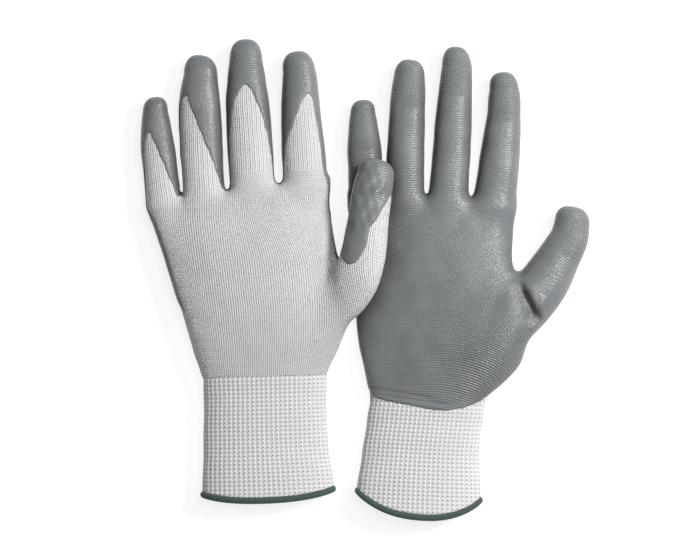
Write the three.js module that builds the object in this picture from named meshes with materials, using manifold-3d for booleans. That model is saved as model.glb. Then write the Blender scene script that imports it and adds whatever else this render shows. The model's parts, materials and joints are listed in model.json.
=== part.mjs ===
// A pair of knitted work gloves with dipped palms, lying flat side by side.
// Left glove: back up. Right glove: palm up. The left thumb rides over the right glove's edge.
// Millimetres. +X across the pair, +Y towards the fingertips, +Z up from the surface they lie on.
import * as THREE from 'three';
import { mergeVertices } from 'three/addons/utils/BufferGeometryUtils.js';
import Module from 'manifold-3d';

const wasm = await Module();
wasm.setup();

// ---- driving dimensions -------------------------------------------------------------------
const COATING_THICKNESS = 0.8;   // nitrile film
const LAYER_GAP = 0.3;           // between the film and the knit it is moulded on
const LINER_THICKNESS = 1.2;     // 13-gauge knit
const CUFF_THICKNESS = 1.6;      // rib knit
const SPLIT_GAP = 0.3;           // at each flex line, and between cuff, hand and hem
const HEM_HEIGHT = 3.2;          // overlock stitch along the cuff's edge
const HEM_OVERHANG = 0.5;        // how far the overlock stands proud of the rib
const ELASTIC_DIAMETER = 0.9;
const ELASTIC_TURNS = 3;
const ELASTIC_STEPS_PER_TURN = 16;
const ELASTIC_START = 0.35;      // the yarn's first turn, in cuff stations from the wrist
const ELASTIC_END = 1.25;        // and its last turn, in cuff stations short of the mouth
const ELASTIC_CLEARANCE = 0.5;   // between the yarn and the inside of the rib
const HEM_CREST = 1.12;          // the overlock is this much deeper in its middle than at its edges
const INSIDE_OVERLAP = 0.3;      // stations by which a hand's inside runs past its open wrist
const HAND_SIDES = 16;
const DIGIT_SIDES = 12;
const HAND_ROUNDNESS = 2.3;      // superellipse power: 2 is an ellipse, more is boxier
const DIGIT_ROUNDNESS = 2.15;
const TIP_FULLNESS = 0.7;        // power of a digit's end: 1 is a half circle, less is blunter
const KNUCKLE_END = { shoulderReach: 0.86, shoulderRun: 0.3, endRun: 0.42 };  // how the hand closes off
const FILM_CLEARANCE = 0.6;      // the film hangs this far above the surface, off the hem and cuff
const FINGERTIP_ARCH = 22;       // bare arch on the back of a digit stops this far from its tip
const CUT_SPAN = 400;            // cutting blocks are larger than the pair
const CUT_HEIGHT = 120;
const CUT_LENGTH = 140;          // longer than any digit
const ROOT_MARGIN = 1.2;         // a hand is cut back this much wider than each digit
const DIGIT_MARGIN = 20;         // a digit is kept out to this far beside its root

// depth below the outermost surface at which each layer starts
const FILM_OUTSIDE = 0;
const FILM_INSIDE = COATING_THICKNESS;
const LINER_OUTSIDE = COATING_THICKNESS + LAYER_GAP;
const LINER_INSIDE = LINER_OUTSIDE + LINER_THICKNESS;

// A hand or cuff station is one flat ring: its two edge points, then bottom and top heights
// at the left edge and at the right edge. A digit station is its centre, width, height and roll.
// The last digit station is where the round tip starts, and `tip` is the very end.
const LEFT_GLOVE = {
  side: 'left',
  palmUp: false,
  hand: [
    { left: [-88, -48], right: [-18.5, -46], heights: [-0.6, 20, 0.5, 22] },
    { left: [-93, -32], right: [-12, -31], heights: [-0.6, 23, 2, 26] },
    { left: [-98.5, -15], right: [-10, -15], heights: [-0.6, 24, 4, 28] },
    { left: [-103.5, 0], right: [-11.5, 0], heights: [-0.6, 24, 5, 28] },
    { left: [-109.5, 19.5], right: [-16, 19.5], heights: [-0.6, 23, 4, 27] },
    { left: [-114, 35], right: [-19.5, 37], heights: [-0.6, 20, 1, 23] },
  ],
  cuff: [
    { left: [-87.5, -48.5], right: [-19, -46.6], heights: [0, 20, 0.5, 22] },
    { left: [-86.2, -58], right: [-20.3, -57], heights: [0, 19, 0, 20] },
    { left: [-86.2, -85], right: [-19.5, -85], heights: [0, 19, 0, 19] },
    { left: [-86.8, -112], right: [-16.3, -109], heights: [0, 20, 0, 20] },
  ],
  mouthBow: { top: 4, bottom: 2 },
  filmWristEdge: { left: -8, right: -17 },
  filmSplit: [[-140, 9.5], [-60, 12], [-20, 15], [-8, 22], [10, 27], [40, 29]],
  digits: {
    thumb: {
      stations: [[-31.5, -37, 13, 27, 20, 5], [-23, -25.5, 16, 30, 21, 9], [-13.5, -12.5, 20.5, 31, 21, 12],
        [-6, -0.5, 25, 28, 20, 11], [-1.5, 11.5, 27, 24.5, 18.5, 8], [1, 26.5, 27.2, 23, 17.5, 4],
        [3, 42.5, 26.8, 21.5, 16.5, 0], [5.5, 56, 26.3, 18.5, 15.5, 0]],
      tip: [6, 63], root: 4.45,
    },
    index: {
      stations: [[-30.2, 31.5, 12.5, 25, 20, 0], [-31.7, 50.5, 10.1, 24.3, 18.6, 0],
        [-34.2, 92.5, 9.1, 21.2, 17, 0], [-34.8, 106, 8.5, 18.9, 15.8, 0], [-35.3, 111, 8.2, 17.2, 15, 0]],
      tip: [-36.8, 121.2], root: 1.05,
    },
    middle: {
      stations: [[-57.5, 31.5, 12.5, 24.5, 20.5, 0], [-59.6, 49.5, 10.3, 24, 19, 0],
        [-62.3, 90, 9.3, 23.2, 17.4, 0], [-62.9, 106, 8.8, 20.4, 16.4, 0], [-63.3, 116.5, 8.1, 18, 14.6, 0]],
      tip: [-63.6, 127.8], root: 1.06,
    },
    ring: {
      stations: [[-84.2, 27.5, 12, 23.3, 20, 0], [-86, 45.5, 9.9, 22.6, 18.2, 0], [-87.9, 84.5, 9.1, 23, 17, 0],
        [-88.1, 98, 8.6, 21.2, 16, 0], [-87.4, 108.5, 7.9, 17.6, 14.2, 0]],
      tip: [-87.4, 119.3], root: 1.08,
    },
    little: {
      stations: [[-104.4, 27.5, 11, 19.6, 18.5, 0], [-106.7, 41, 9.1, 19.4, 16.8, 0],
        [-109.9, 69, 8.6, 18.4, 16, 0], [-111.1, 83.5, 8.1, 15.8, 15, 0], [-111.5, 89, 7.7, 14, 14, 0]],
      tip: [-111.5, 97], root: 1.09,
    },
  },
};

const RIGHT_GLOVE = {
  side: 'right',
  palmUp: true,
  hand: [
    { left: [1.5, -60], right: [65, -62.5], heights: [-1.8, 18, -1.8, 20] },
    { left: [-1.5, -42], right: [81.5, -44.5], heights: [-1.8, 17.5, -1.8, 25] },
    { left: [-4, -28], right: [84.5, -27], heights: [-1.8, 17, -1.8, 27] },
    { left: [-5.5, -10.5], right: [83, -10.5], heights: [-1.8, 16.5, -1.8, 27] },
    { left: [-7, 9.5], right: [77.5, 9.5], heights: [-1.8, 16, -1.8, 25] },
    { left: [-8, 33], right: [78.5, 33], heights: [0, 15.5, 0, 21] },
  ],
  cuff: [
    { left: [2, -60.6], right: [64.5, -63.1], heights: [0, 18, 0, 20] },
    { left: [0.9, -71], right: [63, -72.5], heights: [0, 17.5, 0, 18] },
    { left: [-1.8, -89], right: [60.8, -90], heights: [0, 17.5, 0, 17.5] },
    { left: [-5, -110], right: [61.5, -115], heights: [0, 19, 0, 19] },
  ],
  mouthBow: { top: 11, bottom: 7 },
  filmWristEdge: { left: -57.5, right: -62 },
  filmSplit: [[-40, 8], [0, 9], [40, 10.5], [80, 12], [140, 12]],
  digits: {
    thumb: {
      stations: [[55.5, -50, 11.6, 26, 20, 0], [64, -40, 13.1, 30, 23.5, 0], [73.5, -27, 13.6, 31.5, 24.5, 0],
        [83, -15, 13.2, 30, 23.8, 0], [93, -3.5, 12.2, 26.5, 22, 0], [101, 9.5, 11.2, 24, 20, 0],
        [107.5, 21, 10.2, 21.5, 18, 0], [109.5, 30.5, 9.2, 19, 16.2, 0]],
      tip: [110, 39], root: 4.25,
    },
    index: {
      stations: [[66, 23.5, 12.1, 23.5, 20, 0], [68, 41, 10.3, 23.2, 18.6, 0], [72.9, 82, 9.2, 19.2, 16.8, 0],
        [73.6, 96.5, 8.7, 17.4, 15.8, 0], [73.5, 101.5, 8.2, 15.8, 14.6, 0]],
      tip: [72.6, 110.2], root: 1.08,
    },
    middle: {
      stations: [[43, 26.5, 11.6, 22.5, 19, 0], [44, 43.5, 10.2, 21.9, 18.4, 0], [47.2, 90, 9.3, 18.8, 17, 0],
        [48.3, 107, 8.6, 17, 15.6, 0], [48.6, 113.5, 8, 16, 14.2, 0]],
      tip: [48, 123.7], root: 1.06,
    },
    ring: {
      stations: [[19.8, 26.5, 10.1, 21, 17, 0], [20.9, 44.5, 9.4, 20.9, 16.8, 0], [21.8, 84.5, 9, 19.1, 16.4, 0],
        [22.9, 100.5, 8.4, 17.4, 15.2, 0], [23.5, 108, 7.8, 16, 13.8, 0]],
      tip: [24.2, 117], root: 1.06,
    },
    little: {
      stations: [[0.8, 25.5, 8.6, 19, 15, 0], [0.6, 39.5, 8.2, 18.6, 14.6, 0], [-0.7, 69, 8.1, 18, 14.6, 0],
        [-1.5, 83.5, 7.8, 15.6, 14, 0], [-1.7, 88.5, 7.4, 14, 13, 0]],
      tip: [-1.5, 95.6], root: 1.1,
    },
  },
};

const DIGIT_NAMES = ['index', 'middle', 'ring', 'little', 'thumb'];
const KNIT = { color: 0xe6e6e4, roughness: 0.92, metalness: 0 };
const RIB = { color: 0xdedfdd, roughness: 0.94, metalness: 0 };
const FILM = { color: 0x7d8284, roughness: 0.42, metalness: 0 };
const OVERLOCK = { color: 0x3e564e, roughness: 0.85, metalness: 0 };
const ELASTIC = { color: 0xb9bab8, roughness: 0.6, metalness: 0 };

// ---- solids ----------------------------------------------------------------------------------

const v3 = (x, y, z) => new THREE.Vector3(x, y, z);
const lerp = THREE.MathUtils.lerp;

/** Turn a three.js geometry into a manifold solid whose faces point out. */
function solid(geometry) {
  const bare = geometry.clone();
  bare.deleteAttribute('normal');
  bare.deleteAttribute('uv');
  const merged = mergeVertices(bare, 1e-4);
  const corners = merged.getAttribute('position').array;
  const index = merged.getIndex().array;
  const triangles = [];
  let volume = 0;
  for (let i = 0; i < index.length; i += 3) {
    const [a, b, c] = index.slice(i, i + 3);
    if (a === b || b === c || c === a) continue;
    triangles.push([a, b, c]);
    const [p, q, r] = [a, b, c].map((k) => v3().fromArray(corners, 3 * k));
    volume += p.dot(q.cross(r));
  }
  const outward = volume > 0 ? triangles : triangles.map(([a, b, c]) => [a, c, b]);
  return new wasm.Manifold(new wasm.Mesh({
    numProp: 3,
    vertProperties: new Float32Array(corners),
    triVerts: new Uint32Array(outward.flat()),
  }));
}

/** Turn a manifold solid back into a named mesh with a material of its own. */
function mesh(name, body, look) {
  const result = body.getMesh();
  const geometry = new THREE.BufferGeometry();
  geometry.setAttribute('position', new THREE.BufferAttribute(new Float32Array(result.vertProperties), 3));
  geometry.setIndex(new THREE.BufferAttribute(new Uint32Array(result.triVerts), 1));
  const made = new THREE.Mesh(geometry, new THREE.MeshStandardMaterial(look));
  made.name = name;
  return made;
}

const union = (bodies) => bodies.reduce((all, body) => all.add(body));

/** The biggest of the separate bodies, so that a node is one closed body. */
function largest(body) {
  return body.decompose().sort((a, b) => b.volume() - a.volume())[0];
}

/** Lathe a profile of (reach, run) points, then carry each vertex to place(turn, reach, run). */
function formed(profile, sides, place) {
  const lathe = new THREE.LatheGeometry(profile.map(([reach, run]) => new THREE.Vector2(reach, run)), sides);
  const spots = lathe.getAttribute('position');
  for (let i = 0; i < spots.count; i += 1) {
    const turn = Math.atan2(spots.getZ(i), spots.getX(i));
    const reach = Math.hypot(spots.getX(i), spots.getZ(i));
    spots.setXYZ(i, ...place(turn, reach, spots.getY(i)).toArray());
  }
  return solid(lathe);
}

/** Unit superellipse: across and up for a turn around the ring. */
function rounded(turn, power) {
  const bend = (value) => Math.sign(value) * Math.abs(value) ** (2 / power);
  return [bend(Math.cos(turn)), bend(Math.sin(turn))];
}

/** Interpolate a list of number rows at a fractional position, going on straight past the ends. */
function between(rows, at) {
  const first = Math.min(Math.max(Math.floor(at), 0), rows.length - 2);
  return rows[first].map((value, k) => lerp(value, rows[first + 1][k], at - first));
}

/** A point on the ring of a hand or cuff, `depth` below its outermost surface. */
function handPoint(stations, at, turn, reach, depth) {
  const rows = stations.map(({ left, right, heights }) => [...left, ...right, ...heights]);
  const [xl, yl, xr, yr, bottomL, topL, bottomR, topR] = between(rows, at);
  const [across, up] = rounded(turn, HAND_ROUNDNESS);
  const half = Math.hypot(xr - xl, yr - yl) / 2;
  const share = 0.5 + 0.5 * across * reach * (half - depth) / half;
  const bottom = lerp(bottomL, bottomR, share) + depth;
  const top = lerp(topL, topR, share) - depth;
  const z = (bottom + top) / 2 + up * reach * (top - bottom) / 2;
  const knuckleEnd = Math.min(Math.max((at - stations.length + 1) / KNUCKLE_END.shoulderRun, 0), 1);
  return v3(lerp(xl, xr, share), lerp(yl, yr, share) - depth * knuckleEnd, z);
}

/** Closed loft of the hand from wrist to knuckles; `reach` past the wrist opens an inside one. */
function handLoft(glove, depth, pastWrist) {
  const last = glove.hand.length - 1;
  const profile = [[0, -pastWrist]];
  for (let at = 0; at <= last; at += 1) profile.push([1, at === 0 ? -pastWrist : at]);
  profile.push([KNUCKLE_END.shoulderReach, last + KNUCKLE_END.shoulderRun], [0, last + KNUCKLE_END.endRun]);
  return formed(profile, HAND_SIDES, (turn, reach, run) => handPoint(glove.hand, run, turn, reach, depth));
}

/** Where a digit's axis is at a fractional station, and the sizes there. */
function digitFrame(digit, at) {
  const [x, y, z, width, height, roll] = between(digit.stations, at);
  const ahead = between(digit.stations, at + 0.02);
  const behind = between(digit.stations, at - 0.02);
  const along = v3(ahead[0] - behind[0], ahead[1] - behind[1], 0).normalize();
  const side = v3(along.y, -along.x, 0).applyAxisAngle(along, -THREE.MathUtils.degToRad(roll));
  const up = side.clone().cross(along);
  return { centre: v3(x, y, z), along, side, up, width, height };
}

/** Closed loft of a digit from inside the hand to its round tip. */
function digitLoft(digit, depth) {
  const last = digit.stations.length - 1;
  const base = digitFrame(digit, last - 1e-3);
  const end = v3(digit.tip[0], digit.tip[1], base.centre.z);
  const capLength = end.distanceTo(base.centre) - depth;
  const profile = [[0, 0]];
  for (let at = 0; at <= last; at += 1) profile.push([1, at]);
  for (const angle of [36, 66]) {
    const bow = THREE.MathUtils.degToRad(angle);
    profile.push([Math.cos(bow) ** TIP_FULLNESS, last + Math.sin(bow)]);
  }
  profile.push([0, last + 1]);
  return formed(profile, DIGIT_SIDES, (turn, reach, run) => {
    const spot = digitFrame(digit, Math.min(run, last - 1e-3));
    const [across, up] = rounded(turn, DIGIT_ROUNDNESS);
    const past = Math.max(run - last, 0) * capLength;
    const fromBase = run === 0 ? depth : 0;
    const heading = end.clone().sub(base.centre).normalize();
    return spot.centre
      .addScaledVector(spot.side, across * reach * (spot.width / 2 - depth))
      .addScaledVector(spot.up, up * reach * (spot.height / 2 - depth))
      .addScaledVector(spot.along, fromBase)
      .addScaledVector(heading, past);
  });
}

/** A big block on the +along side of a digit's root plane, no wider than the digit and a margin. */
function beyondRoot(digit, gap, margin) {
  const root = digitFrame(digit, digit.root);
  const block = new THREE.BoxGeometry(root.width + 2 * margin, CUT_LENGTH, CUT_HEIGHT);
  const frame = new THREE.Matrix4().makeBasis(v3(root.along.y, -root.along.x, 0), root.along, v3(0, 0, 1));
  const middle = root.centre.clone().addScaledVector(root.along, gap + CUT_LENGTH / 2);
  block.applyMatrix4(frame.setPosition(middle));
  return solid(block);
}

/** A slab over the whole pair between two heights. */
function slab(from, to) {
  const block = new THREE.BoxGeometry(CUT_SPAN, CUT_SPAN, to - from);
  block.translate(0, 0, (from + to) / 2);
  return solid(block);
}

/** Everything on the hand side of the wrist ring, or of the film's wrist edge. */
function aboveLine([x1, y1], [x2, y2], gap) {
  const along = v3(x2 - x1, y2 - y1, 0).normalize();
  const up = v3(-along.y, along.x, 0);
  const block = new THREE.BoxGeometry(CUT_SPAN, CUT_SPAN, CUT_HEIGHT);
  const middle = v3((x1 + x2) / 2, (y1 + y2) / 2, 0).addScaledVector(up, CUT_SPAN / 2 + gap);
  block.applyMatrix4(new THREE.Matrix4().makeBasis(along, up, v3(0, 0, 1)).setPosition(middle));
  return solid(block);
}

/** The palm side of the hand: under (or over) a folded sheet that runs along Y. */
function palmSide(glove, gap) {
  const far = glove.palmUp ? CUT_HEIGHT : -CUT_HEIGHT;
  const outline = new THREE.Shape();
  const sheet = glove.filmSplit.map(([x, z]) => [x, z + (glove.palmUp ? gap : -gap)]);
  outline.moveTo(sheet[0][0], far);
  for (const [x, z] of sheet) outline.lineTo(x, z);
  outline.lineTo(sheet.at(-1)[0], far);
  const prism = new THREE.ExtrudeGeometry(outline, { depth: CUT_SPAN, bevelEnabled: false });
  prism.rotateX(Math.PI / 2).translate(0, CUT_SPAN / 2, 0);
  return solid(prism);
}

/** Film region on a digit: all of the tip, and only the palm half at the root. */
function digitFilmRegion(glove, digit) {
  const root = digitFrame(digit, digit.root);
  const last = digit.stations.length - 1;
  const tip = v3(digit.tip[0], digit.tip[1], digitFrame(digit, last - 0.01).centre.z);
  const away = glove.palmUp ? -1 : 1;
  const start = root.centre.clone();
  const finish = tip.clone().addScaledVector(root.along, -FINGERTIP_ARCH);
  finish.z += away * root.height / 2;
  const run = finish.clone().sub(start).normalize();
  const side = root.side.clone().addScaledVector(run, -root.side.dot(run)).normalize();
  const normal = side.clone().cross(run).multiplyScalar(-away * Math.sign(side.clone().cross(run).z));
  const block = new THREE.BoxGeometry(CUT_SPAN, CUT_SPAN, CUT_HEIGHT);
  const middle = start.clone().addScaledVector(normal, CUT_HEIGHT / 2);
  const frame = new THREE.Matrix4().makeBasis(side, run, side.clone().cross(run));
  block.applyMatrix4(frame.setPosition(middle));
  return solid(block);
}

// ---- the glove ----------------------------------------------------------------------------------

/** One layer of the whole hand with its digits, before it is split at the flex lines. */
function layer(glove, depth, pastWrist) {
  const digits = Object.values(glove.digits).map((digit) => digitLoft(digit, depth));
  return union([handLoft(glove, depth, pastWrist), ...digits]);
}

/** Cut a layer off level underneath, `lift` above the surface plus its depth in the glove's wall. */
function lifted(body, depth, lift) {
  return body.intersect(slab(Math.max(depth + lift, 0), CUT_HEIGHT));
}

/** The knitted liner and the film of one hand and its five digits. */
function handPieces(glove) {
  const handLift = glove.palmUp ? -LINER_OUTSIDE : FILM_CLEARANCE;
  const handLayer = (depth, past) => lifted(layer(glove, depth, past), depth, handLift);
  const wrist = aboveLine(glove.hand[0].left, glove.hand[0].right, SPLIT_GAP / 2);
  const rootCuts = union(Object.values(glove.digits)
    .map((digit) => beyondRoot(digit, -SPLIT_GAP / 2, ROOT_MARGIN)));
  const { left: edgeLeft, right: edgeRight } = glove.filmWristEdge;
  const filmEdge = aboveLine([glove.hand[0].left[0], edgeLeft], [glove.hand[0].right[0], edgeRight], 0);

  const liner = handLayer(LINER_OUTSIDE, 0).subtract(handLayer(LINER_INSIDE, INSIDE_OVERLAP))
    .intersect(wrist).subtract(rootCuts);
  const film = handLayer(FILM_OUTSIDE, 0).subtract(handLayer(FILM_INSIDE, INSIDE_OVERLAP))
    .intersect(palmSide(glove, 0)).intersect(filmEdge).subtract(rootCuts);
  const pieces = [
    mesh(`${glove.side}_liner_hand`, largest(liner), KNIT),
    mesh(`${glove.side}_coating_palm`, largest(film), FILM),
  ];

  for (const name of DIGIT_NAMES) {
    const digit = glove.digits[name];
    const region = beyondRoot(digit, SPLIT_GAP / 2, DIGIT_MARGIN);
    const shell = (outside, inside) => lifted(digitLoft(digit, outside), outside, FILM_CLEARANCE)
      .subtract(lifted(digitLoft(digit, inside), inside, FILM_CLEARANCE)).intersect(region);
    const stall = shell(LINER_OUTSIDE, LINER_INSIDE);
    const cap = shell(FILM_OUTSIDE, FILM_INSIDE).intersect(digitFilmRegion(glove, digit));
    pieces.push(mesh(`${glove.side}_liner_${name}`, largest(stall), KNIT));
    pieces.push(mesh(`${glove.side}_coating_${name}`, largest(cap), FILM));
  }
  return pieces;
}

/** How far the cuff's mouth bows towards the wearer's arm at this turn, growing along the cuff. */
function bow(glove, run, turn) {
  const [, up] = rounded(turn, HAND_ROUNDNESS);
  const reach = up > 0 ? glove.mouthBow.top : glove.mouthBow.bottom;
  return reach * up * up * (run / (glove.cuff.length - 1)) ** 2;
}

function cuffPoint(glove, run, turn, depth, onwards = 0) {
  const point = handPoint(glove.cuff, run, turn, 1, depth);
  point.y -= bow(glove, run, turn) + onwards;
  return point;
}

/** The rib-knit cuff: a tube, open at the wrist and at the mouth. */
function cuff(glove) {
  const last = glove.cuff.length - 1;
  const stops = [0, 0.5, 1, 1.5, 2, 2.5, last];
  const profile = [...stops.map((run) => [2, run]), ...stops.toReversed().map((run) => [1, run]), [2, 0]];
  return formed(profile, HAND_SIDES, (turn, reach, run) => (
    cuffPoint(glove, run, turn, reach > 1.5 ? 0 : CUFF_THICKNESS, run === 0 ? SPLIT_GAP : 0)));
}

/** The overlocked hem: a ring that finishes the cuff's edge, a little proud of the rib. */
function hem(glove) {
  const last = glove.cuff.length - 1;
  const section = [[4, 0], [4, 1], [3, HEM_CREST], [2, 1], [2, 0], [4, 0]];
  const depths = { 4: -HEM_OVERHANG, 3: CUFF_THICKNESS / 2, 2: CUFF_THICKNESS + HEM_OVERHANG };
  return formed(section, HAND_SIDES, (turn, reach, run) => {
    const point = cuffPoint(glove, last, turn, depths[Math.round(reach)], SPLIT_GAP + run * HEM_HEIGHT);
    point.z = Math.max(point.z, 0);
    return point;
  });
}

/** The elastic yarn that is laid in round the inside of the cuff. */
function elastic(glove) {
  const turns = [];
  const steps = ELASTIC_TURNS * ELASTIC_STEPS_PER_TURN;
  const depth = CUFF_THICKNESS + ELASTIC_CLEARANCE + ELASTIC_DIAMETER / 2;
  for (let step = 0; step <= steps; step += 1) {
    const run = lerp(ELASTIC_START, glove.cuff.length - ELASTIC_END, step / steps);
    turns.push(cuffPoint(glove, run, 2 * Math.PI * step / ELASTIC_STEPS_PER_TURN, depth));
  }
  const radius = ELASTIC_DIAMETER / 2;
  const section = new THREE.Shape([[radius, 0], [0, radius], [-radius, 0], [0, -radius]]
    .map(([x, y]) => new THREE.Vector2(x, y)));
  return solid(new THREE.ExtrudeGeometry(section, {
    steps, bevelEnabled: false, extrudePath: new THREE.CatmullRomCurve3(turns),
  }));
}

function gloveGroup(glove) {
  const group = new THREE.Group();
  group.add(...handPieces(glove));
  group.add(mesh(`${glove.side}_cuff`, cuff(glove), RIB));
  group.add(mesh(`${glove.side}_cuff_elastic`, elastic(glove), ELASTIC));
  group.add(mesh(`${glove.side}_hem_overlock`, hem(glove), OVERLOCK));
  return group;
}

const pair = new THREE.Group();
pair.add(gloveGroup(LEFT_GLOVE), gloveGroup(RIGHT_GLOVE));
const bounds = new THREE.Box3().setFromObject(pair);
const middle = bounds.getCenter(v3());
pair.position.set(-middle.x, -middle.y, -bounds.min.z);

export default pair;
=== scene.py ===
"""A pair of knitted work gloves with dipped palms, lying flat, the left back up and the right palm up.

Each glove's skin is grown from the same stations as the CAD part: lofts become distance fields, the fields
are joined into one smooth glove, and the knit liner and the nitrile film are both meshed from that field.
Lengths are millimetres until a mesh is made, which is in metres, in the part's frame."""

import math

import bpy
import numpy as np
import openvdb
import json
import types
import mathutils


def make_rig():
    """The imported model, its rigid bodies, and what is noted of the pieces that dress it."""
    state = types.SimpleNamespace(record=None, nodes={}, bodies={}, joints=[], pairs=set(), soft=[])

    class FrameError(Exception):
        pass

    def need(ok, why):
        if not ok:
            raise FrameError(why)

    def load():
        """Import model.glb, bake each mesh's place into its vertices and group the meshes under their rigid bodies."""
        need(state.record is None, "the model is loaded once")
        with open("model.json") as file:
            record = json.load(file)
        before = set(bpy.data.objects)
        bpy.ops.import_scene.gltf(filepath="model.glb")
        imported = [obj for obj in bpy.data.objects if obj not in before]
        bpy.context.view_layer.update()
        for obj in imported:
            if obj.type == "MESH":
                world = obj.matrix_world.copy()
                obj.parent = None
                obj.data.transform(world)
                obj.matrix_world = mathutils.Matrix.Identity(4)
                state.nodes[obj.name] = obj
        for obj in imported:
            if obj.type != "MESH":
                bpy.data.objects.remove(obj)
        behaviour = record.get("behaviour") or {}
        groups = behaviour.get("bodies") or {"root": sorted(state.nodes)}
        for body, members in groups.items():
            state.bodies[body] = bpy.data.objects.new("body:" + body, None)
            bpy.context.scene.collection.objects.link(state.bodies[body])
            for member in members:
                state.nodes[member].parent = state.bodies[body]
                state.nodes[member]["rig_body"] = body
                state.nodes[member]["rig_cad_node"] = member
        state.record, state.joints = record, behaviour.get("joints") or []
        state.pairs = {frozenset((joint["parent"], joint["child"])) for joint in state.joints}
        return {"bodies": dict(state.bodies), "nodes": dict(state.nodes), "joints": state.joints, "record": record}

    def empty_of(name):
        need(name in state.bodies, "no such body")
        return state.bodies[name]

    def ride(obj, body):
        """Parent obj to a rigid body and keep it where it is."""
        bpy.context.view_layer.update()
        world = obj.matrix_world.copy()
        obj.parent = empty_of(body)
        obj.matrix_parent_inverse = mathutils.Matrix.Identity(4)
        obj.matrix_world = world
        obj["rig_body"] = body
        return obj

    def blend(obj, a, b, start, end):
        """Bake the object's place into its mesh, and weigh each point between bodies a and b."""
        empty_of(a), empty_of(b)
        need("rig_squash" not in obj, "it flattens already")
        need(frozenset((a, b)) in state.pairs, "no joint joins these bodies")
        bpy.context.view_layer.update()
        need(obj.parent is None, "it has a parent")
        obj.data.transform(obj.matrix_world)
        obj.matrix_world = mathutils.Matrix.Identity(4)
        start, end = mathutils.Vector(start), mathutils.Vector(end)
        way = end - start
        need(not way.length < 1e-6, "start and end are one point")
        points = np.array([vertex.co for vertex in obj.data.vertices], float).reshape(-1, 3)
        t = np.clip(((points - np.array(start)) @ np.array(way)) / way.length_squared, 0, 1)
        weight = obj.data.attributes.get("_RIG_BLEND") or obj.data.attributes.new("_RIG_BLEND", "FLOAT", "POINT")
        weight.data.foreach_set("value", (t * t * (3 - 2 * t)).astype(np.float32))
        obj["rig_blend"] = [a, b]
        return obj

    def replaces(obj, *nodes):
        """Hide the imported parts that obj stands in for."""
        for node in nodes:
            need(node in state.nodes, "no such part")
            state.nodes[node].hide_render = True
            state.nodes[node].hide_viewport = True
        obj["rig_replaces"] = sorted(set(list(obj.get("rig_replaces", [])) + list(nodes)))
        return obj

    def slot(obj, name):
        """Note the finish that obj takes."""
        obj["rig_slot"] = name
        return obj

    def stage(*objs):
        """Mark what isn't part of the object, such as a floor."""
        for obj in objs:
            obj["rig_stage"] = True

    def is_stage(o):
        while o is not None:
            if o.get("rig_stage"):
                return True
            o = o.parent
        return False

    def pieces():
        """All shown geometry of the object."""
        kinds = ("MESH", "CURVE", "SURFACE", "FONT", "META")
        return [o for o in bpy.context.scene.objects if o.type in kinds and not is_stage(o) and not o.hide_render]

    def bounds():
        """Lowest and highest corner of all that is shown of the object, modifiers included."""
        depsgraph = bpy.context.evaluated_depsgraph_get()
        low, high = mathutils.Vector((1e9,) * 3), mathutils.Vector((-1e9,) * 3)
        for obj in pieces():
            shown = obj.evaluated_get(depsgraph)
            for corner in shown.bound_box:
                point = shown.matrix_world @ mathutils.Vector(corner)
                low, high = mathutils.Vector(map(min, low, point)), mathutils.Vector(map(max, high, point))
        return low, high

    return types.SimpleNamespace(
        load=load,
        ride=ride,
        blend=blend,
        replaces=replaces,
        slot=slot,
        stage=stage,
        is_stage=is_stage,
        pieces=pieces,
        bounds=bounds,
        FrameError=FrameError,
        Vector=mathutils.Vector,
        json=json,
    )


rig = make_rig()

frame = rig.load()
cad_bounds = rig.bounds()

MM = 0.001
VOXEL = 0.8                 # of the distance fields
BAND = 14                   # voxels on each side of a surface that hold a true distance
LINER_DEPTH = 0.45          # knit surface below the outermost surface
FILM_DEPTH = -0.05          # film surface below the outermost surface
FILM_HIDDEN = 2.6           # how deep the film's field goes on below the knit, so that it meshes well
DIGIT_BASE = 14.0           # how far before its hinge a point can still be on a digit
DIGIT_REACH = 1.6           # and how far off its axis, as a share of its half width
FILM_REACH = (1.3, 1.58)    # off a digit's axis, as shares of its half width, where its film rule fades out
KNIT_REACH = (1.15, 1.55)   # the same for its wales
DIGIT_LEAD = 10.0           # the wales start to follow a finger this far before its hinge
TIP_STRETCH = 0.5           # how much more the knit shows through the film on the right glove's fingertips
TIP_LINE = (28.0, 25.5)     # distances from the tip where that starts and where it is full
SIDE_WALL = (0.6, 0.85)     # shares of the half width between which the wales turn over the hand's sides
SIDE_SHOULDER = 2.5         # how far below a face its sides start
COURSE_SAG = 0.008          # how much the courses drop away on the thumb side of the palm, per mm squared
WRIST_TUCK = 3.0            # how far the liner runs on under the cuff
HAND_ROUNDNESS = 2.3        # superellipse powers, as in the CAD part
DIGIT_ROUNDNESS = 2.15
TIP_FULLNESS = 0.7          # power of the round tips, under 1 for blunter ones
KNUCKLE_CAP = 9.0           # how far the hand's rounded end runs on between the fingers
KNUCKLE_BLEND = 5.0         # radius of the web between hand and fingers
THUMB_BLEND = 6.0           # and between hand and thumb
BEND_BEFORE = 2.0           # a digit starts to bend this far before its hinge
BEND_AFTER = 22.0
BASE_TAPER = 0.4            # a digit's loft is this much slimmer where it starts inside the hand
BASE_TAPER_END = 0.15       # and full size by this share of the way to its hinge
CUFF_WALL = 1.6
RIB_PITCH = 2.5             # from rib to rib
RIB_HEIGHT = 0.35
COURSE_PITCH = 2.2          # from row to row along a rib
HEM_HEIGHT = 3.2
HEM_OVERHANG = 0.7
STITCH_PITCH = 1.15
RIB_STEPS = 6               # points round each rib, round each stitch, along the cuff and round the hem
STITCH_STEPS = 7
CUFF_RINGS = 110
HEM_SIDES = 18
ELASTIC_TURNS = 9
ELASTIC_STEPS = 60          # points along each of its turns
ELASTIC_RADIUS = 0.38
ELASTIC_INSET = 0.75        # yarn's middle inside the cuff's inner face
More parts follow.
